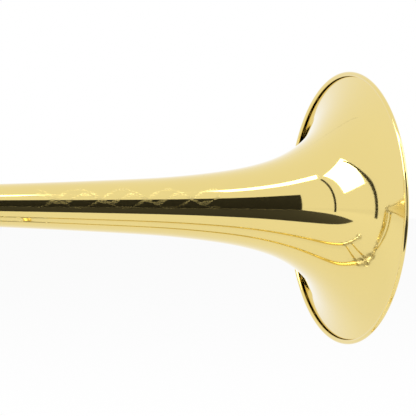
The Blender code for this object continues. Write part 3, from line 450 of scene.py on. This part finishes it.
def seeing_rays(tree):
    """1 for a ray that sees, straight from the camera or by gloss or glass, and 0 for one that lights."""
    rays = node(tree, "ShaderNodeLightPath", {}, output="Is Camera Ray")
    glossy = Wire(tree, rays.socket.node.outputs["Is Glossy Ray"])
    through = Wire(tree, rays.socket.node.outputs["Is Transmission Ray"])
    return rays.maths("MAXIMUM", glossy).maths("MAXIMUM", through)


def brighten_for_camera(material):
    """Lets the camera see the floor as nearly white paper that still holds a soft shadow."""
    tree = material.node_tree
    shader = tree.nodes["Principled BSDF"]
    paper = node(tree, "ShaderNodeEmission", {}, Strength=1.0)
    mixed = node(tree, "ShaderNodeMixShader", {}, seeing_rays(tree) * PAPER_GLOW)
    tree.links.new(shader.outputs[0], mixed.socket.node.inputs[1])
    tree.links.new(paper.socket, mixed.socket.node.inputs[2])
    tree.links.new(mixed.socket, tree.nodes["Material Output"].inputs["Surface"])


def flat_piece(name, size, location, rotation, color):
    """A flat card of the studio."""
    bpy.ops.mesh.primitive_plane_add(size=1, location=location, rotation=rotation)
    card = bpy.context.object
    card.name = name
    card.scale = (*size, 1)
    material = bpy.data.materials.new(name)
    material.use_nodes = True
    shader = material.node_tree.nodes["Principled BSDF"]
    shader.inputs["Base Color"].default_value = (*color, 1)
    shader.inputs["Roughness"].default_value = CARD_ROUGHNESS
    card.data.materials.append(material)
    return card


def painted_reflection_cards(rim):
    """Black cards seen only in reflections, which paint dark reflections into the brass: the dark gap
    between the soft lights, and dark edge lines.
    """
    forward = rim.x + CARDS_FORWARD
    upright = (pi / 2, 0, 0)
    gap_place = (forward, rim.y - GAP_DISTANCE, GAP_HEIGHT)
    board_place = (forward, rim.y - BOARD_DISTANCE, BOARD_HEIGHT)
    strip_place = (forward, rim.y + STRIP_OFFSET, rim.z + STRIP_OFFSET)
    cards = [
        flat_piece("painted_reflection_gap", GAP_SIZE, gap_place, upright, BLACK),
        flat_piece("painted_reflection_board", BOARD_SIZE, board_place, (0, 0, 0), BLACK),
        flat_piece("painted_reflection_strip", STRIP_SIZE, strip_place, (pi / 4, 0, 0), BLACK),
    ]
    for number, turn in enumerate(EDGE_TURNS):
        place = rim + Vector((sin(turn), -cos(turn), 0)) * EDGE_DISTANCE
        place.z = EDGE_HEIGHT
        cards.append(flat_piece(f"painted_reflection_edge_{number}", EDGE_SIZE, place, (pi / 2, 0, turn), BLACK))
    # Painted reflection: the cards are hidden from the camera, from diffuse light and from shadows, so
    # they only darken what the brass reflects
    for card in cards:
        card.visible_camera = False
        card.visible_diffuse = False
        card.visible_shadow = False


def softbox(name, location, aim, size, power):
    """A rectangular soft lamp pointed at a place."""
    lamp = bpy.data.lights.new(name, "AREA")
    lamp.shape = "RECTANGLE"
    lamp.size, lamp.size_y = size
    lamp.energy = power
    holder = bpy.data.objects.new(name, lamp)
    holder.location = location
    holder.rotation_euler = (aim - Vector(location)).to_track_quat("-Z", "Y").to_euler()
    bpy.context.scene.collection.objects.link(holder)


def add_camera(scene, rim):
    """A long lens at the photograph's angle, level with the rim."""
    turn = scene.trombone.azimuth
    sight = Vector((-sin(turn), cos(turn), 0))
    heading = turn + RIM_OFF_AXIS
    ahead = Vector((-sin(heading), cos(heading), 0))
    camera = bpy.data.cameras.new("camera")
    camera.sensor_width = SENSOR_WIDTH
    camera.lens = LENS
    holder = bpy.data.objects.new("camera", camera)
    holder.location = rim - sight * scene.trombone.distance
    holder.rotation_euler = ahead.to_track_quat("-Z", "Y").to_euler()
    scene.collection.objects.link(holder)
    scene.camera = holder


def add_world(scene):
    """A white room, dimmer where it lights the object than where it is seen."""
    world = bpy.data.worlds.new("studio")
    world.use_nodes = True
    scene.world = world
    tree = world.node_tree
    strength = ROOM_LIGHT + seeing_rays(tree) * (1 - ROOM_LIGHT)
    tree.links.new(strength.socket, tree.nodes["Background"].inputs["Strength"])
    tree.nodes["Background"].inputs["Color"].default_value = (1, 1, 1, 1)


class TROMBONE_OT_stage(bpy.types.Operator):
    """Makes the floor, the black cards that paint the dark gap between the soft lights into the brass's
    reflections, the lamps, the world and the camera
    """

    bl_idname = "trombone.stage"
    bl_label = "Stage"

    def execute(self, context):
        scene = context.scene
        rim = Vector((BELL_HIGH.x, 0, 0))
        rim.y = (BELL_LOW.y + BELL_HIGH.y) / 2
        rim.z = (BELL_LOW.z + BELL_HIGH.z) / 2
        add_camera(scene, rim)
        paper = tuple(scene.trombone.paper)
        floor = flat_piece("floor", (FLOOR_SIZE, FLOOR_SIZE), (0, 0, 0), (0, 0, 0), paper)
        brighten_for_camera(floor.data.materials[0])
        painted_reflection_cards(rim)
        for name, place, size, power in LAMPS:
            softbox(name, place, rim, size, power)
        add_world(scene)
        scene.view_settings.view_transform = "Standard"
        return {"FINISHED"}


class TROMBONE_PT_panel(bpy.types.Panel):
    bl_idname = "TROMBONE_PT_panel"
    bl_label = "Trombone"
    bl_space_type = "VIEW_3D"
    bl_region_type = "UI"
    bl_category = "Trombone"

    def draw(self, context):
        for name in ("bell_sides", "distance", "azimuth", "paper"):
            self.layout.prop(context.scene.trombone, name)
        for kind in OPERATORS:
            self.layout.operator(kind.bl_idname)


OPERATORS = (TROMBONE_OT_finishes, TROMBONE_OT_bell, TROMBONE_OT_round_pieces, TROMBONE_OT_stage)
CLASSES = (TromboneSettings, *OPERATORS, TROMBONE_PT_panel)


def register():
    for kind in CLASSES:
        bpy.utils.register_class(kind)
    bpy.types.Scene.trombone = bpy.props.PointerProperty(type=TromboneSettings)


def unregister():
    del bpy.types.Scene.trombone
    for kind in reversed(CLASSES):
        bpy.utils.unregister_class(kind)


def main():
    register()
    bpy.ops.trombone.finishes()
    bpy.ops.trombone.bell()
    bpy.ops.trombone.round_pieces()
    bpy.ops.trombone.stage()


if __name__ == "__main__":
    main()
